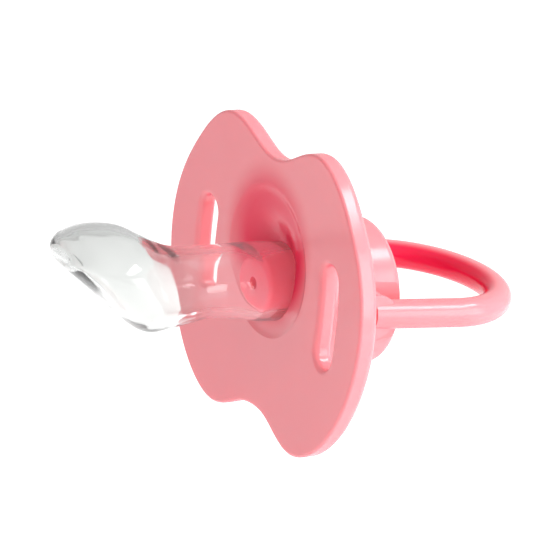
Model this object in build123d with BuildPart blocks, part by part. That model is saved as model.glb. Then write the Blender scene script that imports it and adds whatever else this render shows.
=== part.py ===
"""Orthodontic pacifier: shield, silicone teat, retaining plug, knob and swinging ring.

Frame: origin at the middle of the whole object's box, +Z up (the side that sits under the nose),
-Y forward along the teat into the mouth, +Y back towards the ring, X across the face.
All sizes are in millimetres.
"""
import os
from math import acos, atan2, cos, degrees, hypot, radians, sin

from build123d import *

os.makedirs("parts", exist_ok=True)

MIDDLE_Y = 1.2              # the pieces are drawn from the middle of the shield's plate, this far forward

# ---- shield -------------------------------------------------------------------------------------
SHIELD_THICK = 2.4
FRONT = -SHIELD_THICK / 2   # y of the plate's face at its middle
SHIELD_CURVE = 320.0        # radius of the shallow dish that follows the face
FACE_EDGE_ROUND = 0.35
BACK_EDGE_ROUND = 0.95
RIM_LENGTH = 60.0           # only the plate's outline edges are longer than this
# half outline from the nose notch, round the +X side, to the chin notch, as (x, z)
NOSE_NOTCH = (0.0, 15.3)
CHIN_NOTCH = (0.0, -15.6)
SIDE_POINTS = [
    (2.4, 15.7), (5.8, 17.2), (10.4, 18.3), (14.5, 16.6), (17.3, 13.9), (21.7, 7.1),
    (22.95, -0.7), (21.0, -8.3), (16.6, -14.8), (13.4, -17.2), (9.6, -18.3), (5.3, -17.1),
    (2.3, -15.85),
]

SLOT_X = 14.9               # middle of each vent slot
SLOT_Z = 0.3
SLOT_REACH = 4.3            # half length of the slot's centre line
SLOT_BOW = 0.24             # how far the slot bows outwards
SLOT_WIDTH = 3.8
SLOT_ROUND = 0.7

DISH_Z = 2.4                # the hollow round the teat, deepest above the neck
DISH_RADIUS = 10.2
DISH_DEPTH = 2.4
# its profile from the middle to the lip, as shares of the radius and of the depth
DISH_PROFILE = [(0.0, 1.0), (0.25, 0.88), (0.45, 0.5), (0.65, 0.2), (0.85, 0.04)]
DISH_LIP = 0.25             # how far past the plate's face the profile ends

OPENING_GAP = 0.05          # round the teat's neck, where it passes through the plate

# ---- knob and the clamp behind the shield ---------------------------------------------------------
KNOB_Z = -1.9               # axis of the knob, the collar and the plug
KNOB_BASE = 1.25            # y of the knob's rim, against the shield
KNOB_BACK = 12.7            # y of the knob's flat back
KNOB_BASE_RADIUS = 9.4
KNOB_BACK_RADIUS = 8.9
KNOB_EDGE_ROUND = 1.1
KNOB_INSIDE_RADIUS = 6.4
KNOB_BACK_WALL = 1.5
POST_OUTER = 5.6            # tube inside the knob that presses on the plug
POST_INNER = 4.4

COLLAR_OUTER = 8.2
COLLAR_INNER = 7.2
COLLAR_BACK = 5.2           # y where the shield's collar ends
SEAT_Y = 2.7                # y of the seat that the teat's flange lies on
BEAD = 0.25                 # snap bead round the collar
BEAD_Y = 4.1
SNAP_GAP = 0.05

# ---- teat -----------------------------------------------------------------------------------------
FLANGE_RADIUS = 7.1
FLANGE_THICK = 1.2
FLANGE_BACK = SEAT_Y + FLANGE_THICK
BORE_FRONT = -3.4           # y where the neck's bore opens into the bulb
BORE_OVERLAP = 0.2          # how far the bulb's cavity starts inside the bore
NECK_WIDTH = 10.3
NECK_HEIGHT = 9.2
NECK_WALL = 1.2
# stations from the shield to the tip: (top y, top z, bottom y, bottom z, half width)
TEAT_STATIONS = [
    (1.0, 4.6, 1.0, -4.6, 5.15),
    (-2.0, 4.9, -2.0, -4.6, 5.15),
    (-5.5, 4.95, -5.5, -4.0, 5.05),
    (-9.5, 4.9, -9.5, -3.55, 5.15),
    (-13.9, 5.15, -13.0, -3.9, 5.95),
    (-17.3, 6.45, -15.9, -4.2, 7.2),
    (-20.8, 8.1, -18.4, -4.15, 8.4),
    (-24.0, 8.3, -21.1, -2.1, 8.7),
    (-26.4, 7.6, -24.7, 0.9, 7.3),
    (-27.8, 6.7, -27.1, 3.0, 5.0),
    (-28.6, 5.9, -28.5, 4.4, 2.4),
]
BULB_WALL = 1.5

# ---- plug -----------------------------------------------------------------------------------------
PLUG_DISC = 1.2
PLUG_BACK = FLANGE_BACK + PLUG_DISC
PLUG_FRONT = -3.0           # y of the spigot's front end inside the neck
PLUG_WALL = 0.9             # the spigot is hollow from behind, with a vent through its front wall
SPIGOT_ROUND = 0.5
VENT_RADIUS = 0.8

# ---- ring -----------------------------------------------------------------------------------------
RING_TUBE = 1.75
HINGE_Y = 7.5
HINGE_Z = -1.4
ARM_X = 10.4                # centre line of each arm at the hinge
ARC_WIDE = 12.05            # half axes of the oval end
ARC_LONG = 9.8
ARC_Y = 12.0                # from the hinge to the oval's centre
DROOP = 1.0                 # degrees below the knob's axis
EYE_RADIUS = 2.65
EYE_INNER = ARM_X - RING_TUBE - 0.1
EYE_THICK = 3.0
PIN_RADIUS = 1.5
PIN_GAP = 0.05
PIN_REACH = 2.1             # how far each pin stands in from the eye
SIDE_GAP = 0.3              # between the ring's eye and the knob's flat


def plane_at(y, z=0.0):
    """A sketch plane across the teat's axis: local x is X, local y is Z, and it faces forward."""
    return Plane(origin=(0, y, z), x_dir=(1, 0, 0), z_dir=(0, -1, 0))


def station_plane(station):
    """The plane of one teat section, leaning as its top and bottom points do."""
    top_y, top_z, low_y, low_z, _ = station
    lean = Vector(0, top_y - low_y, top_z - low_z).normalized()
    middle = (0, (top_y + low_y) / 2, (top_z + low_z) / 2)
    return Plane(origin=middle, x_dir=(1, 0, 0), z_dir=Vector(1, 0, 0).cross(lean))


def half_height(station):
    top_y, top_z, low_y, low_z, _ = station
    return hypot(top_y - low_y, top_z - low_z) / 2


def hinge_plane(side, x):
    """A sketch plane across the ring's hinge, x out from the middle, facing outwards."""
    return Plane(origin=(side * x, HINGE_Y, HINGE_Z), x_dir=(0, 1, 0), z_dir=(side, 0, 0))


def save(part, name):
    """Writes one piece, moved so that the origin is the middle of the whole object's box."""
    piece = part.moved(Location((0, -MIDDLE_Y, 0)))
    piece.label = name
    export_step(piece, f"parts/{name}.step")


# ---- shield ---------------------------------------------------------------------------------------
right_side = [NOSE_NOTCH] + SIDE_POINTS + [CHIN_NOTCH]
left_side = [(-x, z) for x, z in reversed(SIDE_POINTS)]

with BuildPart() as shield:
    with BuildSketch(plane_at(SHIELD_THICK)):
        with BuildLine():
            Spline(*right_side, *left_side, periodic=True)
        make_face()
    extrude(amount=3 * SHIELD_THICK)
    with Locations((0, -SHIELD_CURVE - SHIELD_THICK / 2, 0)):
        Sphere(SHIELD_CURVE + SHIELD_THICK, mode=Mode.INTERSECT)
        Sphere(SHIELD_CURVE, mode=Mode.SUBTRACT)
    for end, radius in ((0, FACE_EDGE_ROUND), (-1, BACK_EDGE_ROUND)):
        outlines = shield.edges().filter_by(lambda e: e.length > RIM_LENGTH).sort_by(Axis.Y)
        fillet(outlines[end], radius)
    # collar behind the plate
    with BuildSketch(plane_at(COLLAR_BACK, KNOB_Z)):
        Circle(COLLAR_OUTER)
    extrude(amount=COLLAR_BACK)
    with BuildSketch(plane_at(COLLAR_BACK, KNOB_Z)):
        Circle(COLLAR_INNER)
    extrude(amount=COLLAR_BACK - SEAT_Y, mode=Mode.SUBTRACT)
    with BuildSketch(Plane(origin=(0, 0, KNOB_Z), x_dir=(1, 0, 0), z_dir=(0, 0, 1))):
        with Locations((COLLAR_OUTER, BEAD_Y)):
            Circle(BEAD)
    revolve(axis=Axis((0, 0, KNOB_Z), (0, 1, 0)))
    # hollow round the teat
    with BuildSketch(Plane(origin=(0, 0, DISH_Z), x_dir=(1, 0, 0), z_dir=(0, 0, 1))):
        with BuildLine():
            profile = [(r * DISH_RADIUS, FRONT + d * DISH_DEPTH) for r, d in DISH_PROFILE]
            dish = Spline(*profile, (DISH_RADIUS, FRONT - DISH_LIP), tangents=[(1, 0), (1, 0)])
            Polyline(dish @ 1, (DISH_RADIUS, -SHIELD_THICK), (0, -SHIELD_THICK), dish @ 0)
        make_face()
    revolve(axis=Axis((0, 0, DISH_Z), (0, 1, 0)), mode=Mode.SUBTRACT)
    with BuildSketch(plane_at(COLLAR_BACK)):
        Ellipse(NECK_WIDTH / 2 + OPENING_GAP, NECK_HEIGHT / 2 + OPENING_GAP)
    extrude(amount=2 * COLLAR_BACK, mode=Mode.SUBTRACT)
    # vent slots
    with BuildSketch(plane_at(2 * SHIELD_THICK)):
        for side in (1, -1):
            with BuildLine(mode=Mode.PRIVATE) as slot_line:
                ThreePointArc(
                    (side * (SLOT_X - SLOT_BOW), SLOT_Z - SLOT_REACH),
                    (side * SLOT_X, SLOT_Z),
                    (side * (SLOT_X - SLOT_BOW), SLOT_Z + SLOT_REACH),
                )
            SlotArc(slot_line.edge(), SLOT_WIDTH)
    extrude(amount=4 * SHIELD_THICK, mode=Mode.SUBTRACT)
    fillet(shield.edges(Select.LAST).filter_by(Axis.Y, reverse=True), SLOT_ROUND)
save(shield.part, "shield")

# ---- teat -----------------------------------------------------------------------------------------
bore_width = NECK_WIDTH / 2 - NECK_WALL
bore_height = NECK_HEIGHT / 2 - NECK_WALL

with BuildPart() as teat:
    with BuildSketch(plane_at(SEAT_Y)):
        Ellipse(NECK_WIDTH / 2, NECK_HEIGHT / 2)
    for station in TEAT_STATIONS:
        with BuildSketch(station_plane(station)):
            Ellipse(station[4], half_height(station))
    loft()
    with BuildSketch(plane_at(FLANGE_BACK, KNOB_Z)):
        Circle(FLANGE_RADIUS)
    extrude(amount=FLANGE_THICK)
    # bore for the plug, then the cavity of the bulb
    with BuildSketch(plane_at(FLANGE_BACK)):
        Ellipse(bore_width, bore_height)
    extrude(amount=FLANGE_BACK - BORE_FRONT, mode=Mode.SUBTRACT)
    with BuildSketch(plane_at(BORE_FRONT + BORE_OVERLAP)):
        Ellipse(bore_width, bore_height)
    for station in TEAT_STATIONS[2:-2]:
        with BuildSketch(station_plane(station)):
            Ellipse(station[4] - BULB_WALL, half_height(station) - BULB_WALL)
    loft(mode=Mode.SUBTRACT)
save(teat.part, "teat")

# ---- plug -----------------------------------------------------------------------------------------
spigot_width = bore_width - SNAP_GAP
spigot_height = bore_height - SNAP_GAP

with BuildPart() as plug:
    with BuildSketch(plane_at(PLUG_BACK, KNOB_Z)):
        Circle(FLANGE_RADIUS)
    extrude(amount=PLUG_DISC)
    with BuildSketch(plane_at(FLANGE_BACK)):
        Ellipse(spigot_width, spigot_height)
    extrude(amount=FLANGE_BACK - PLUG_FRONT)
    fillet(plug.edges().sort_by(Axis.Y)[0], SPIGOT_ROUND)
    with BuildSketch(plane_at(PLUG_BACK)):
        Ellipse(spigot_width - PLUG_WALL, spigot_height - PLUG_WALL)
    extrude(amount=PLUG_BACK - PLUG_FRONT - PLUG_WALL, mode=Mode.SUBTRACT)
    with BuildSketch(plane_at(PLUG_FRONT + PLUG_WALL)):
        Circle(VENT_RADIUS)
    extrude(amount=PLUG_WALL, mode=Mode.SUBTRACT)
save(plug.part, "plug")

# ---- knob -----------------------------------------------------------------------------------------
flat_x = EYE_INNER - SIDE_GAP
knob_side = Plane(origin=(0, 0, KNOB_Z), x_dir=(1, 0, 0), z_dir=(0, 0, 1))

with BuildPart() as knob:
    with BuildSketch(knob_side) as knob_section:
        with BuildLine():
            Polyline(
                (0, KNOB_BASE),
                (KNOB_BASE_RADIUS, KNOB_BASE),
                (KNOB_BACK_RADIUS, KNOB_BACK),
                (0, KNOB_BACK),
                close=True,
            )
        make_face()
        fillet(knob_section.vertices().sort_by(Axis.Y)[-2:].sort_by(Axis.X)[-1], KNOB_EDGE_ROUND)
    revolve(axis=Axis((0, 0, KNOB_Z), (0, 1, 0)))
    # flats that the ring's eyes turn against
    with BuildSketch(plane_at(KNOB_BACK, KNOB_Z)):
        for side in (1, -1):
            with Locations((side * (flat_x + KNOB_BASE_RADIUS / 2), 0)):
                Rectangle(KNOB_BASE_RADIUS, KNOB_BASE_RADIUS)
    extrude(amount=KNOB_BACK - HINGE_Y + EYE_RADIUS + SIDE_GAP, mode=Mode.SUBTRACT)
    # inside: the socket for the collar, its snap groove, and the room behind the plug
    with BuildSketch(knob_side):
        with BuildLine():
            Polyline(
                (0, KNOB_BASE),
                (COLLAR_OUTER + SNAP_GAP, KNOB_BASE),
                (COLLAR_OUTER + SNAP_GAP, COLLAR_BACK + SNAP_GAP),
                (KNOB_INSIDE_RADIUS, COLLAR_BACK + SNAP_GAP),
                (KNOB_INSIDE_RADIUS, KNOB_BACK - KNOB_BACK_WALL),
                (0, KNOB_BACK - KNOB_BACK_WALL),
                close=True,
            )
        make_face()
    revolve(axis=Axis((0, 0, KNOB_Z), (0, 1, 0)), mode=Mode.SUBTRACT)
    with BuildSketch(knob_side):
        with Locations((COLLAR_OUTER, BEAD_Y)):
            Circle(BEAD + SNAP_GAP)
    revolve(axis=Axis((0, 0, KNOB_Z), (0, 1, 0)), mode=Mode.SUBTRACT)
    # tubular post that presses the plug home
    with BuildSketch(plane_at(KNOB_BACK - KNOB_BACK_WALL, KNOB_Z)):
        Circle(POST_OUTER)
        Circle(POST_INNER, mode=Mode.SUBTRACT)
    extrude(amount=KNOB_BACK - KNOB_BACK_WALL - PLUG_BACK)
    # bearings for the ring's pins
    for side in (1, -1):
        with BuildSketch(hinge_plane(side, KNOB_BASE_RADIUS)):
            Circle(PIN_RADIUS + PIN_GAP)
        extrude(amount=POST_OUTER - KNOB_BASE_RADIUS, mode=Mode.SUBTRACT)
save(knob.part, "knob")

# ---- ring -----------------------------------------------------------------------------------------
# where a line from the hinge touches the oval, as an angle round the oval
a = ARM_X * ARC_LONG
b = ARC_Y * ARC_WIDE
touch = acos(ARC_WIDE * ARC_LONG / hypot(a, b)) - atan2(b, a)
ring_plane = Plane(
    origin=(0, HINGE_Y, HINGE_Z),
    x_dir=(1, 0, 0),
    z_dir=(0, sin(radians(DROOP)), cos(radians(DROOP))),
)

with BuildPart() as ring:
    with BuildLine(ring_plane) as ring_line:
        oval = EllipticalCenterArc(
            (0, ARC_Y), ARC_WIDE, ARC_LONG, start_angle=degrees(touch), arc_size=180 - 2 * degrees(touch)
        )
        Line((ARM_X, 0), (ARC_WIDE * cos(touch), ARC_Y + ARC_LONG * sin(touch)))
        Line((-ARC_WIDE * cos(touch), ARC_Y + ARC_LONG * sin(touch)), (-ARM_X, 0))
    path = ring_line.wire()
    with BuildSketch(Plane(origin=path @ 0, z_dir=path % 0)):
        Circle(RING_TUBE)
    sweep(path=path)
    for side in (1, -1):
        with BuildSketch(hinge_plane(side, EYE_INNER)):
            Circle(EYE_RADIUS)
        extrude(amount=EYE_THICK)
        with BuildSketch(hinge_plane(side, EYE_INNER)):
            Circle(PIN_RADIUS)
        extrude(amount=-PIN_REACH)
save(ring.part, "ring")
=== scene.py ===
"""Looks of the pacifier: pink moulded plastic, a clear silicone teat, and a plain bright studio."""
from math import cos, hypot, pi, radians, sin

import bpy
from mathutils import Matrix, Vector


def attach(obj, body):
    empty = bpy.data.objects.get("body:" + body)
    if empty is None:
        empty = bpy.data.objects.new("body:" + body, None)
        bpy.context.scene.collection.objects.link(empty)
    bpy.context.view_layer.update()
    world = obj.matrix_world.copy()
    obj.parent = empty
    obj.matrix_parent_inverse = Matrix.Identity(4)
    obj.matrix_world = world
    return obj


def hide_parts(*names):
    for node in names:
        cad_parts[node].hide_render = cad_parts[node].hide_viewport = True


MM = 0.001
MIDDLE_Y = 1.2 * MM     # the teat is drawn from the middle of the shield's plate, this far forward

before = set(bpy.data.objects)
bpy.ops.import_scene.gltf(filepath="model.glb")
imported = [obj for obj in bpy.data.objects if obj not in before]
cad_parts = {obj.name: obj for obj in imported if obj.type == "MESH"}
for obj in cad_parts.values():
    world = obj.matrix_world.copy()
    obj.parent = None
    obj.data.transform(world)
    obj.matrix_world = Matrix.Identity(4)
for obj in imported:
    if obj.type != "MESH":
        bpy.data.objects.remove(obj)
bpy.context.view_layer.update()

# ---- camera ---------------------------------------------------------------------------------------
VIEW_AZIMUTH = radians(59.0)
VIEW_ELEVATION = radians(17.28)
VIEW_ROLL = radians(5.24)
VIEW_DISTANCE = 0.3405
LENS = 186.9
SENSOR = 36.0
CLIP = (0.01, 20)
AIM = Vector((0, -MIDDLE_Y, -0.7 * MM))
AIM_RIGHT = 0.19 * MM
AIM_UP = 1.33 * MM

# ---- studio ---------------------------------------------------------------------------------------
FLOOR_Z = -0.12
FLOOR_SIZE = 6.0
WORLD_LIGHT = 0.92       # strength of the sky on its bright side
WORLD_DIM = 0.48         # and on the side away from it
BRIGHT_SIDE = (0.62, 0.52, 0.59)
FLOOR_PAINT = (0.95, 0.95, 0.95, 1)
FLOOR_ROUGH = 0.8
FLOOR_GLOW = 0.25        # the table is lit from under it, so that it stays white
WHITE = (1, 1, 1, 1)
# name, direction from the object, distance, width, height, radiance
LIGHTS = [
    ("overhead", (0.41, 0.44, 0.80), 0.7, 0.50, 0.14, 14.0),
    ("key", (0.80, 0.49, 0.25), 0.6, 0.42, 0.42, 4.8),
]


def camera():
    back = Vector((
        sin(VIEW_AZIMUTH) * cos(VIEW_ELEVATION),
        -cos(VIEW_AZIMUTH) * cos(VIEW_ELEVATION),
        sin(VIEW_ELEVATION),
    ))
    level = Vector((cos(VIEW_AZIMUTH), sin(VIEW_AZIMUTH), 0))
    plumb = back.cross(level)
    right = cos(VIEW_ROLL) * level + sin(VIEW_ROLL) * plumb
    up = cos(VIEW_ROLL) * plumb - sin(VIEW_ROLL) * level
    data = bpy.data.cameras.new("camera")
    data.lens = LENS
    data.sensor_width = SENSOR
    data.clip_start, data.clip_end = CLIP
    eye = bpy.data.objects.new("camera", data)
    turn = Matrix((right, up, back)).transposed().to_4x4()
    place = Matrix.Translation(AIM + VIEW_DISTANCE * back + AIM_RIGHT * right + AIM_UP * up)
    eye.matrix_world = place @ turn
    bpy.context.scene.collection.objects.link(eye)
    bpy.context.scene.camera = eye


def softbox(name, direction, distance, width, height, radiance):
    """A rectangular light that faces the object, as bright as asked whatever its size."""
    data = bpy.data.lights.new(name, "AREA")
    data.shape = "RECTANGLE"
    data.size = width
    data.size_y = height
    data.energy = radiance * pi * width * height
    light = bpy.data.objects.new(name, data)
    away = Vector(direction).normalized()
    facing = away.to_track_quat("Z", "Y").to_matrix().to_4x4()
    light.matrix_world = Matrix.Translation(away * distance) @ facing
    bpy.context.scene.collection.objects.link(light)


def sky():
    """A white world, brighter on one side."""
    world = bpy.data.worlds.new("world")
    world.use_nodes = True
    tree = world.node_tree
    where = tree.nodes.new("ShaderNodeTexCoord")
    toward = tree.nodes.new("ShaderNodeVectorMath")
    toward.operation = "DOT_PRODUCT"
    toward.inputs[1].default_value = BRIGHT_SIDE
    tree.links.new(where.outputs["Generated"], toward.inputs[0])
    level = tree.nodes.new("ShaderNodeMapRange")
    level.inputs["From Min"].default_value = -1
    level.inputs["To Min"].default_value = WORLD_DIM
    level.inputs["To Max"].default_value = WORLD_LIGHT
    tree.links.new(toward.outputs["Value"], level.inputs["Value"])
    tree.links.new(level.outputs["Result"], tree.nodes["Background"].inputs["Strength"])
    tree.nodes["Background"].inputs["Color"].default_value = WHITE
    bpy.context.scene.world = world


def table():
    """The plain pale floor."""
    mesh = bpy.data.meshes.new("floor")
    half = FLOOR_SIZE / 2
    corners = [(x * half, y * half, FLOOR_Z) for x, y in ((-1, -1), (1, -1), (1, 1), (-1, 1))]
    mesh.from_pydata(corners, [], [(0, 1, 2, 3)])
    floor = bpy.data.objects.new("floor", mesh)
    bpy.context.scene.collection.objects.link(floor)
    paint = bpy.data.materials.new("floor")
    paint.use_nodes = True
    shader = paint.node_tree.nodes["Principled BSDF"]
    shader.inputs["Base Color"].default_value = FLOOR_PAINT
    shader.inputs["Roughness"].default_value = FLOOR_ROUGH
    shader.inputs["Emission Color"].default_value = WHITE
    shader.inputs["Emission Strength"].default_value = FLOOR_GLOW
    mesh.materials.append(paint)


def studio():
    sky()
    bpy.context.scene.view_settings.view_transform = "Standard"
    for light in LIGHTS:
        softbox(*light)
    table()


# ---- materials ------------------------------------------------------------------------------------
# plastic
PINK = (0.77, 0.24, 0.265, 1)
PINK_DEEP = (0.73, 0.205, 0.235, 1)
PINK_HOLLOW_SHADE = (0.66, 0.005, 0.050, 1)   # painted shade, for where little light gets in
PINK_SHADE = (0.80, 0.06, 0.11, 1)      # painted shade on undersides
GLOW = (0.70, 0.035, 0.09, 1)           # painted glow, standing in for light that comes through the plastic into the hole
GLOW_CAVITY = 0.25
GLOW_PLUG = 0.18
PLUG_SHELTER = 0.6                      # how far the plug's colour goes to the painted hollow shade
SHELTER_SPREAD = 0.1
PLASTIC_IOR = 1.5
PLASTIC_SPECULAR = 0.4
SCATTER = 0.25                          # of the outer parts; the plug scatters fully
SCATTER_COLOUR = (1.0, 0.08, 0.12)
SCATTER_DEPTH = 4.0 * MM
SKY_SIDE = (0.42, -0.25, 0.87)          # the side that most light comes from
UNDERSIDE = (-0.85, 0.0)                # range of the dot product over which the shade fades out
BACK_SIDE = (0.0, 0.5)
RING_INSIDE = (-0.6, 0.1)
CAVITY_REACH = 6 * MM
CAVITY_SAMPLES = 12
CAVITY_SHADE = (0.1, 0.55)              # range of openness over which the painted hollow shade fades out
# range of openness over which the painted glow in the hole fades out
CAVITY_LIT = (0.15, 0.5)
DISH_MIDDLE = (0, 0, 4.5 * MM)          # where the painted shade in the hollow round the teat is deepest
DISH_DEEP = 6.0 * MM
DISH_EDGE = 11.0 * MM
RING_MIDDLE = (0, 17 * MM, -1.6 * MM)
# noises, as scale and detail
CLOUDS = (90, 2.0)
CLOUD_DEPTH = 0.5
PLUG_CLOUDS = (200, 2.0)
PLASTIC_SMEARS = (400, 4.0)
PLASTIC_ROUGH = (0.14, 0.26)
FLOW = (60, 2.0)                        # soft waves of the moulded surface
FLOW_DEPTH = 0.05 * MM
GRAIN = (2500, 2.0)
GRAIN_DEPTH = 0.003 * MM

# silicone
# grey tint of the bulb, painted shade
SILICONE_BULB_SHADE = ((0.835, 0.840, 0.830, 1), (0.815, 0.830, 0.822, 1))
SILICONE_NECK = (0.955, 0.955, 0.95, 1)
SILICONE_TINT = (0.98, 0.72, 0.76, 1)   # where it sits in the pink plate
BULB_TO_NECK = (-18 * MM, -11 * MM)     # y range of each change of colour
NECK_TO_TINT = (-4 * MM, 1 * MM)
NECK_GLOW_COLOUR = (1.0, 0.50, 0.56, 1)      # painted pink glow, standing in for light that the neck scatters
NECK_GLOW = 0.035
BULB_TO_NECK_GLOW = (-16 * MM, -9 * MM)
SILICONE_IOR = 1.36
SILICONE_CLEAR = 0.985
SILICONE_CLOUDS = (120, 2.0)
SILICONE_SMEARS = (300, 3.0)
SILICONE_ROUGH = (0.02, 0.06)
RIPPLE = (140, 2.0)
RIPPLE_DEPTH = 0.02 * MM


class Nodes:
    """Short calls for building one material's node tree."""

    def __init__(self, name):
        self.material = bpy.data.materials.new(name)
        self.material.use_nodes = True
        self.tree = self.material.node_tree
        self.shader = self.tree.nodes["Principled BSDF"]
        where = self.add("ShaderNodeTexCoord")
        self.place = where.outputs["Object"]
        self.facing = where.outputs["Normal"]

    def add(self, kind, **values):
        node = self.tree.nodes.new(kind)
        for key, value in values.items():
            setattr(node, key, value)
        return node

    def link(self, output, socket):
        self.tree.links.new(output, socket)

    def noise(self, scale, detail):
        node = self.add("ShaderNodeTexNoise")
        self.link(self.place, node.inputs["Vector"])
        node.inputs["Scale"].default_value = scale
        node.inputs["Detail"].default_value = detail
        return node.outputs["Fac"]

    def ramp(self, factor, low, high):
        """Maps 0..1 to low..high, as a number for a shader socket."""
        node = self.add("ShaderNodeMapRange")
        self.link(factor, node.inputs["Value"])
        node.inputs["To Min"].default_value = low
        node.inputs["To Max"].default_value = high
        return node.outputs["Result"]

    def smooth(self, value, low, high):
        """0 below low, 1 above high, and an even rise between."""
        node = self.add("ShaderNodeMapRange", interpolation_type="SMOOTHSTEP")
        self.link(value, node.inputs["Value"])
        node.inputs["From Min"].default_value = low
        node.inputs["From Max"].default_value = high
        return node.outputs["Result"]

    def mix(self, factor, a, b):
        node = self.add("ShaderNodeMix", data_type="RGBA")
        self.link(factor, node.inputs["Factor"])
        for socket, value in (("A", a), ("B", b)):
            port = [s for s in node.inputs if s.name == socket and s.type == "RGBA"][0]
            if isinstance(value, tuple):
                port.default_value = value
            else:
                self.link(value, port)
        return [s for s in node.outputs if s.type == "RGBA"][0]

    def dot(self, vector, other):
        """The dot product of a socket with another socket or a fixed vector."""
        node = self.add("ShaderNodeVectorMath", operation="DOT_PRODUCT")
        self.link(vector, node.inputs[0])
        if isinstance(other, tuple):
            node.inputs[1].default_value = other
        else:
            self.link(other, node.inputs[1])
        return node.outputs["Value"]

    def bump(self, height, depth, below=None):
        node = self.add("ShaderNodeBump")
        node.inputs["Strength"].default_value = 1.0
        node.inputs["Distance"].default_value = depth
        self.link(height, node.inputs["Height"])
        if below is not None:
            self.link(below, node.inputs["Normal"])
        return node.outputs["Normal"]


def pink_plastic(name, dished=False, ringed=False, sheltered=0.0):
    """Glossy translucent pink, with painted shade in cavities, on undersides and inside the ring.

    dished paints shade and glow into the hollow round the teat, ringed paints shade on the inner side
    of the ring, and sheltered (0 to 1) brings the whole piece towards the painted hollow shade, with
    a painted glow.
    """
    n = Nodes(name)
    normal = n.add("ShaderNodeNewGeometry").outputs["Normal"]
    colour = n.mix(n.ramp(n.noise(*CLOUDS), 0.0, CLOUD_DEPTH), PINK, PINK_DEEP)
    # painted shade over the whole plug, unevenly
    if sheltered:
        uneven = n.ramp(n.noise(*PLUG_CLOUDS), sheltered - SHELTER_SPREAD, sheltered + SHELTER_SPREAD)
        colour = n.mix(uneven, colour, PINK_HOLLOW_SHADE)
    # painted shade on faces turned away from the side most light comes from
    colour = n.mix(n.smooth(n.dot(normal, SKY_SIDE), *UNDERSIDE), PINK_SHADE, colour)
    # painted shade in the hollow round the teat, on front faces only
    if dished:
        middle = n.add("ShaderNodeVectorMath", operation="MULTIPLY")
        n.link(n.place, middle.inputs[0])
        middle.inputs[1].default_value = (1, 0, 1)
        reach = n.add("ShaderNodeVectorMath", operation="DISTANCE")
        n.link(middle.outputs["Vector"], reach.inputs[0])
        reach.inputs[1].default_value = DISH_MIDDLE
        behind = n.dot(normal, (0, 1, 0))
        either = n.add("ShaderNodeMath", operation="MAXIMUM")
        n.link(n.smooth(reach.outputs["Value"], DISH_DEEP, DISH_EDGE), either.inputs[0])
        n.link(n.smooth(behind, *BACK_SIDE), either.inputs[1])
        open_to_light = either.outputs["Value"]
        colour = n.mix(open_to_light, PINK_HOLLOW_SHADE, colour)
    # painted shade on the inner side of the ring
    if ringed:
        out = n.add("ShaderNodeVectorMath", operation="SUBTRACT")
        n.link(n.place, out.inputs[0])
        out.inputs[1].default_value = RING_MIDDLE
        away = n.add("ShaderNodeVectorMath", operation="NORMALIZE")
        n.link(out.outputs["Vector"], away.inputs[0])
        outward = n.dot(away.outputs["Vector"], n.facing)
        colour = n.mix(n.smooth(outward, *RING_INSIDE), PINK_HOLLOW_SHADE, colour)
    # painted shade in cavities, from ambient occlusion
    cavity = n.add("ShaderNodeAmbientOcclusion", samples=CAVITY_SAMPLES, only_local=True)
    cavity.inputs["Distance"].default_value = CAVITY_REACH
    colour = n.mix(n.smooth(cavity.outputs["AO"], *CAVITY_SHADE), PINK_HOLLOW_SHADE, colour)
    n.link(colour, n.shader.inputs["Base Color"])
    # painted glow from the shield's cavities
    if dished:
        glow = n.ramp(n.smooth(cavity.outputs["AO"], *CAVITY_LIT), GLOW_CAVITY, 0.0)
        n.link(glow, n.shader.inputs["Emission Strength"])
        n.shader.inputs["Emission Color"].default_value = GLOW
    # painted glow over the whole plug
    if sheltered:
        n.shader.inputs["Emission Strength"].default_value = GLOW_PLUG
        n.shader.inputs["Emission Color"].default_value = GLOW
    n.link(n.ramp(n.noise(*PLASTIC_SMEARS), *PLASTIC_ROUGH), n.shader.inputs["Roughness"])
    flow = n.bump(n.noise(*FLOW), FLOW_DEPTH)
    n.link(n.bump(n.noise(*GRAIN), GRAIN_DEPTH, flow), n.shader.inputs["Normal"])
    n.shader.inputs["IOR"].default_value = PLASTIC_IOR
    n.shader.inputs["Specular IOR Level"].default_value = PLASTIC_SPECULAR
    n.shader.inputs["Subsurface Weight"].default_value = 1.0 if sheltered else SCATTER
    n.shader.inputs["Subsurface Radius"].default_value = SCATTER_COLOUR
    n.shader.inputs["Subsurface Scale"].default_value = SCATTER_DEPTH
    return n.material


def clear_silicone():
    """Clear, tinted grey in the thick bulb as painted shade, pink where it sits in the pink plate,
    with a painted pink glow in the neck.
    """
    n = Nodes("clear_silicone")
    colour = n.mix(n.noise(*SILICONE_CLOUDS), *SILICONE_BULB_SHADE)
    split = n.add("ShaderNodeSeparateXYZ")
    n.link(n.place, split.inputs["Vector"])
    along = split.outputs["Y"]
    colour = n.mix(n.smooth(along, *BULB_TO_NECK), colour, SILICONE_NECK)
    colour = n.mix(n.smooth(along, *NECK_TO_TINT), colour, SILICONE_TINT)
    n.link(colour, n.shader.inputs["Base Color"])
    # painted pink glow in the neck
    neck_glow = n.ramp(n.smooth(along, *BULB_TO_NECK_GLOW), 0.0, NECK_GLOW)
    n.link(neck_glow, n.shader.inputs["Emission Strength"])
    n.shader.inputs["Emission Color"].default_value = NECK_GLOW_COLOUR
    n.link(n.ramp(n.noise(*SILICONE_SMEARS), *SILICONE_ROUGH), n.shader.inputs["Roughness"])
    n.link(n.bump(n.noise(*RIPPLE), RIPPLE_DEPTH), n.shader.inputs["Normal"])
    n.shader.inputs["IOR"].default_value = SILICONE_IOR
    n.shader.inputs["Transmission Weight"].default_value = SILICONE_CLEAR
    return n.material


def paint(piece, material):
    piece.data.materials.clear()
    piece.data.materials.append(material)


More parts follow.
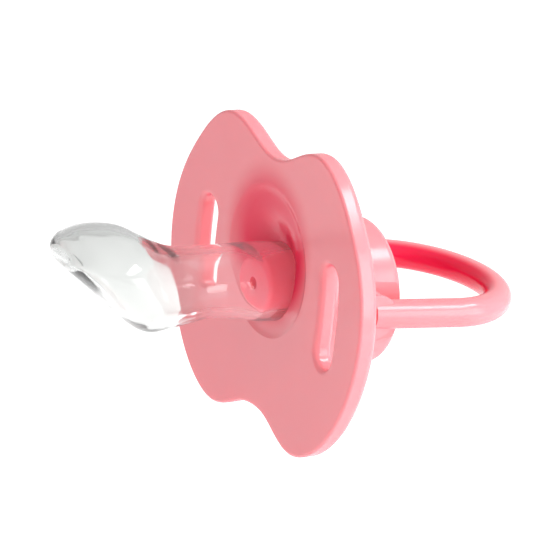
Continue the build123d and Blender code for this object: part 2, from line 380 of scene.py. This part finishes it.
# ---- teat -----------------------------------------------------------------------------------------
# outline of the teat from the side, from the tip back to the shield:
# (top y, top z, bottom y, bottom z, half width), in millimetres
TEAT_OUTSIDE = [
    (-28.80, 5.45, -28.80, 4.85, 1.3),
    (-28.6, 5.9, -28.5, 4.4, 2.4),
    (-27.8, 6.7, -27.1, 3.0, 5.0),
    (-26.4, 7.6, -24.7, 0.9, 7.3),
    (-24.0, 8.3, -21.1, -2.1, 8.7),
    (-20.8, 8.1, -18.4, -4.15, 8.4),
    (-17.3, 6.45, -15.9, -4.2, 7.2),
    (-13.9, 5.15, -13.0, -3.9, 5.95),
    (-9.5, 4.9, -9.5, -3.55, 5.15),
    (-5.5, 4.95, -5.5, -4.0, 5.05),
    (-2.0, 4.9, -2.0, -4.6, 5.15),
    (1.0, 4.6, 1.0, -4.6, 5.15),
]
TIP = (0, -28.88, 5.15)
WALL = 1.1
CAVITY_ROWS = slice(2, 10)      # the rows of the outline that have air inside them
INNER_TIP_GAP = 0.2
SEAT_Y = 2.7                    # front of the flange
FLANGE_THICK = 1.2
FLANGE_RADIUS = 7.1
FLANGE_Z = -1.9
# rounded rim of the flange: (how far along its thickness, how far in from its radius)
FLANGE_RIM = [(0, 0.3), (0.15, 0.05), (0.6, 0), (1.05, 0.05), (1.2, 0.3)]
BORE = (3.95, 3.4)              # half width and half height
BORE_YS = (3.0, 1.5, 0.0, -1.5, -3.0)
ROUND_STEPS = 96
LONG_STEPS = 8


def smooth_rows(rows, steps):
    """More rows between the given ones, along a Catmull-Rom curve."""
    out = []
    for i in range(len(rows) - 1):
        around = [rows[max(0, min(len(rows) - 1, i + k))] for k in (-1, 0, 1, 2)]
        for s in range(steps):
            t = s / steps
            out.append(tuple(
                0.5 * (
                    2 * b + (c - a) * t
                    + (2 * a - 5 * b + 4 * c - d) * t ** 2
                    + (3 * b - a - 3 * c + d) * t ** 3
                )
                for a, b, c, d in zip(*around)
            ))
    out.append(rows[-1])
    return out


def shrink(row, wall):
    """The same section moved in by the wall's thickness."""
    top_y, top_z, low_y, low_z, half = row
    reach = hypot(top_y - low_y, top_z - low_z)
    along = Vector((low_y - top_y, low_z - top_z)) / reach * wall
    return (top_y + along.x, top_z + along.y, low_y - along.x, low_z - along.y, half - wall)


def ellipse_row(y, z, half_width, half_height):
    return (y, z + half_height, y, z - half_height, half_width)


def place(point):
    """From millimetres off the middle of the shield's plate to the scene's metres."""
    return Vector(point) * MM - Vector((0, MIDDLE_Y, 0))


def ring_points(row):
    """The points of one oval section."""
    top_y, top_z, low_y, low_z, half = row
    middle = Vector((0, (top_y + low_y) / 2, (top_z + low_z) / 2))
    up = Vector((0, (top_y - low_y) / 2, (top_z - low_z) / 2))
    for k in range(ROUND_STEPS):
        angle = 2 * pi * k / ROUND_STEPS
        yield place(middle + up * sin(angle) + Vector((half * cos(angle), 0, 0)))


def skin(name, rows, tip_first, tip_last):
    """A closed skin through oval rows, with a point at each end."""
    points = [place(tip_first)]
    for row in rows:
        points.extend(ring_points(row))
    points.append(place(tip_last))
    faces = []
    count = len(rows)
    for k in range(ROUND_STEPS):
        nxt = (k + 1) % ROUND_STEPS
        faces.append((0, 1 + k, 1 + nxt))
        for r in range(count - 1):
            a = 1 + r * ROUND_STEPS
            b = a + ROUND_STEPS
            faces.append((a + k, b + k, b + nxt, a + nxt))
        last = 1 + (count - 1) * ROUND_STEPS
        faces.append((last + nxt, last + k, len(points) - 1))
    mesh = bpy.data.meshes.new(name)
    mesh.from_pydata(points, [], faces)
    mesh.validate()
    mesh.shade_smooth()
    piece = bpy.data.objects.new(name, mesh)
    bpy.context.scene.collection.objects.link(piece)
    return piece


def teat():
    outside = smooth_rows(TEAT_OUTSIDE, LONG_STEPS)
    neck = TEAT_OUTSIDE[-1]
    back = SEAT_Y + FLANGE_THICK
    seat = ellipse_row(SEAT_Y - 0.3, 0.0, neck[4], neck[1])
    flange = [
        ellipse_row(SEAT_Y, -0.1, neck[4] + 0.3, neck[1] + 0.2),
        *(
            ellipse_row(SEAT_Y + depth, FLANGE_Z, FLANGE_RADIUS - inset, FLANGE_RADIUS - inset)
            for depth, inset in FLANGE_RIM
        ),
        ellipse_row(back, -0.1, BORE[0] + 0.4, BORE[1] + 0.4),
        ellipse_row(back - 0.1, 0.0, *BORE),
    ]
    bore = [ellipse_row(y, 0.0, *BORE) for y in BORE_YS]
    inside = [shrink(row, WALL) for row in reversed(TEAT_OUTSIDE[CAVITY_ROWS])]
    cavity = smooth_rows([bore[-1]] + inside, LONG_STEPS)[1:]
    end = cavity[-1]
    inner_tip = (0, (end[0] + end[2]) / 2 - INNER_TIP_GAP, (end[1] + end[3]) / 2)
    piece = skin("silicone_teat", outside + [seat] + flange + bore + cavity, TIP, inner_tip)
    paint(piece, clear_silicone())
    # the light that falls through it is left as it is, so that the plate behind stays pink
    piece.visible_shadow = False
    piece.visible_diffuse = False
    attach(piece, "soother")
    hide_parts("teat")


camera()
studio()
paint(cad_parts["shield"], pink_plastic("shield_plastic", dished=True))
paint(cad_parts["knob"], pink_plastic("knob_plastic"))
paint(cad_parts["ring"], pink_plastic("ring_plastic", ringed=True))
paint(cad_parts["plug"], pink_plastic("plug_plastic", sheltered=PLUG_SHELTER))
teat()
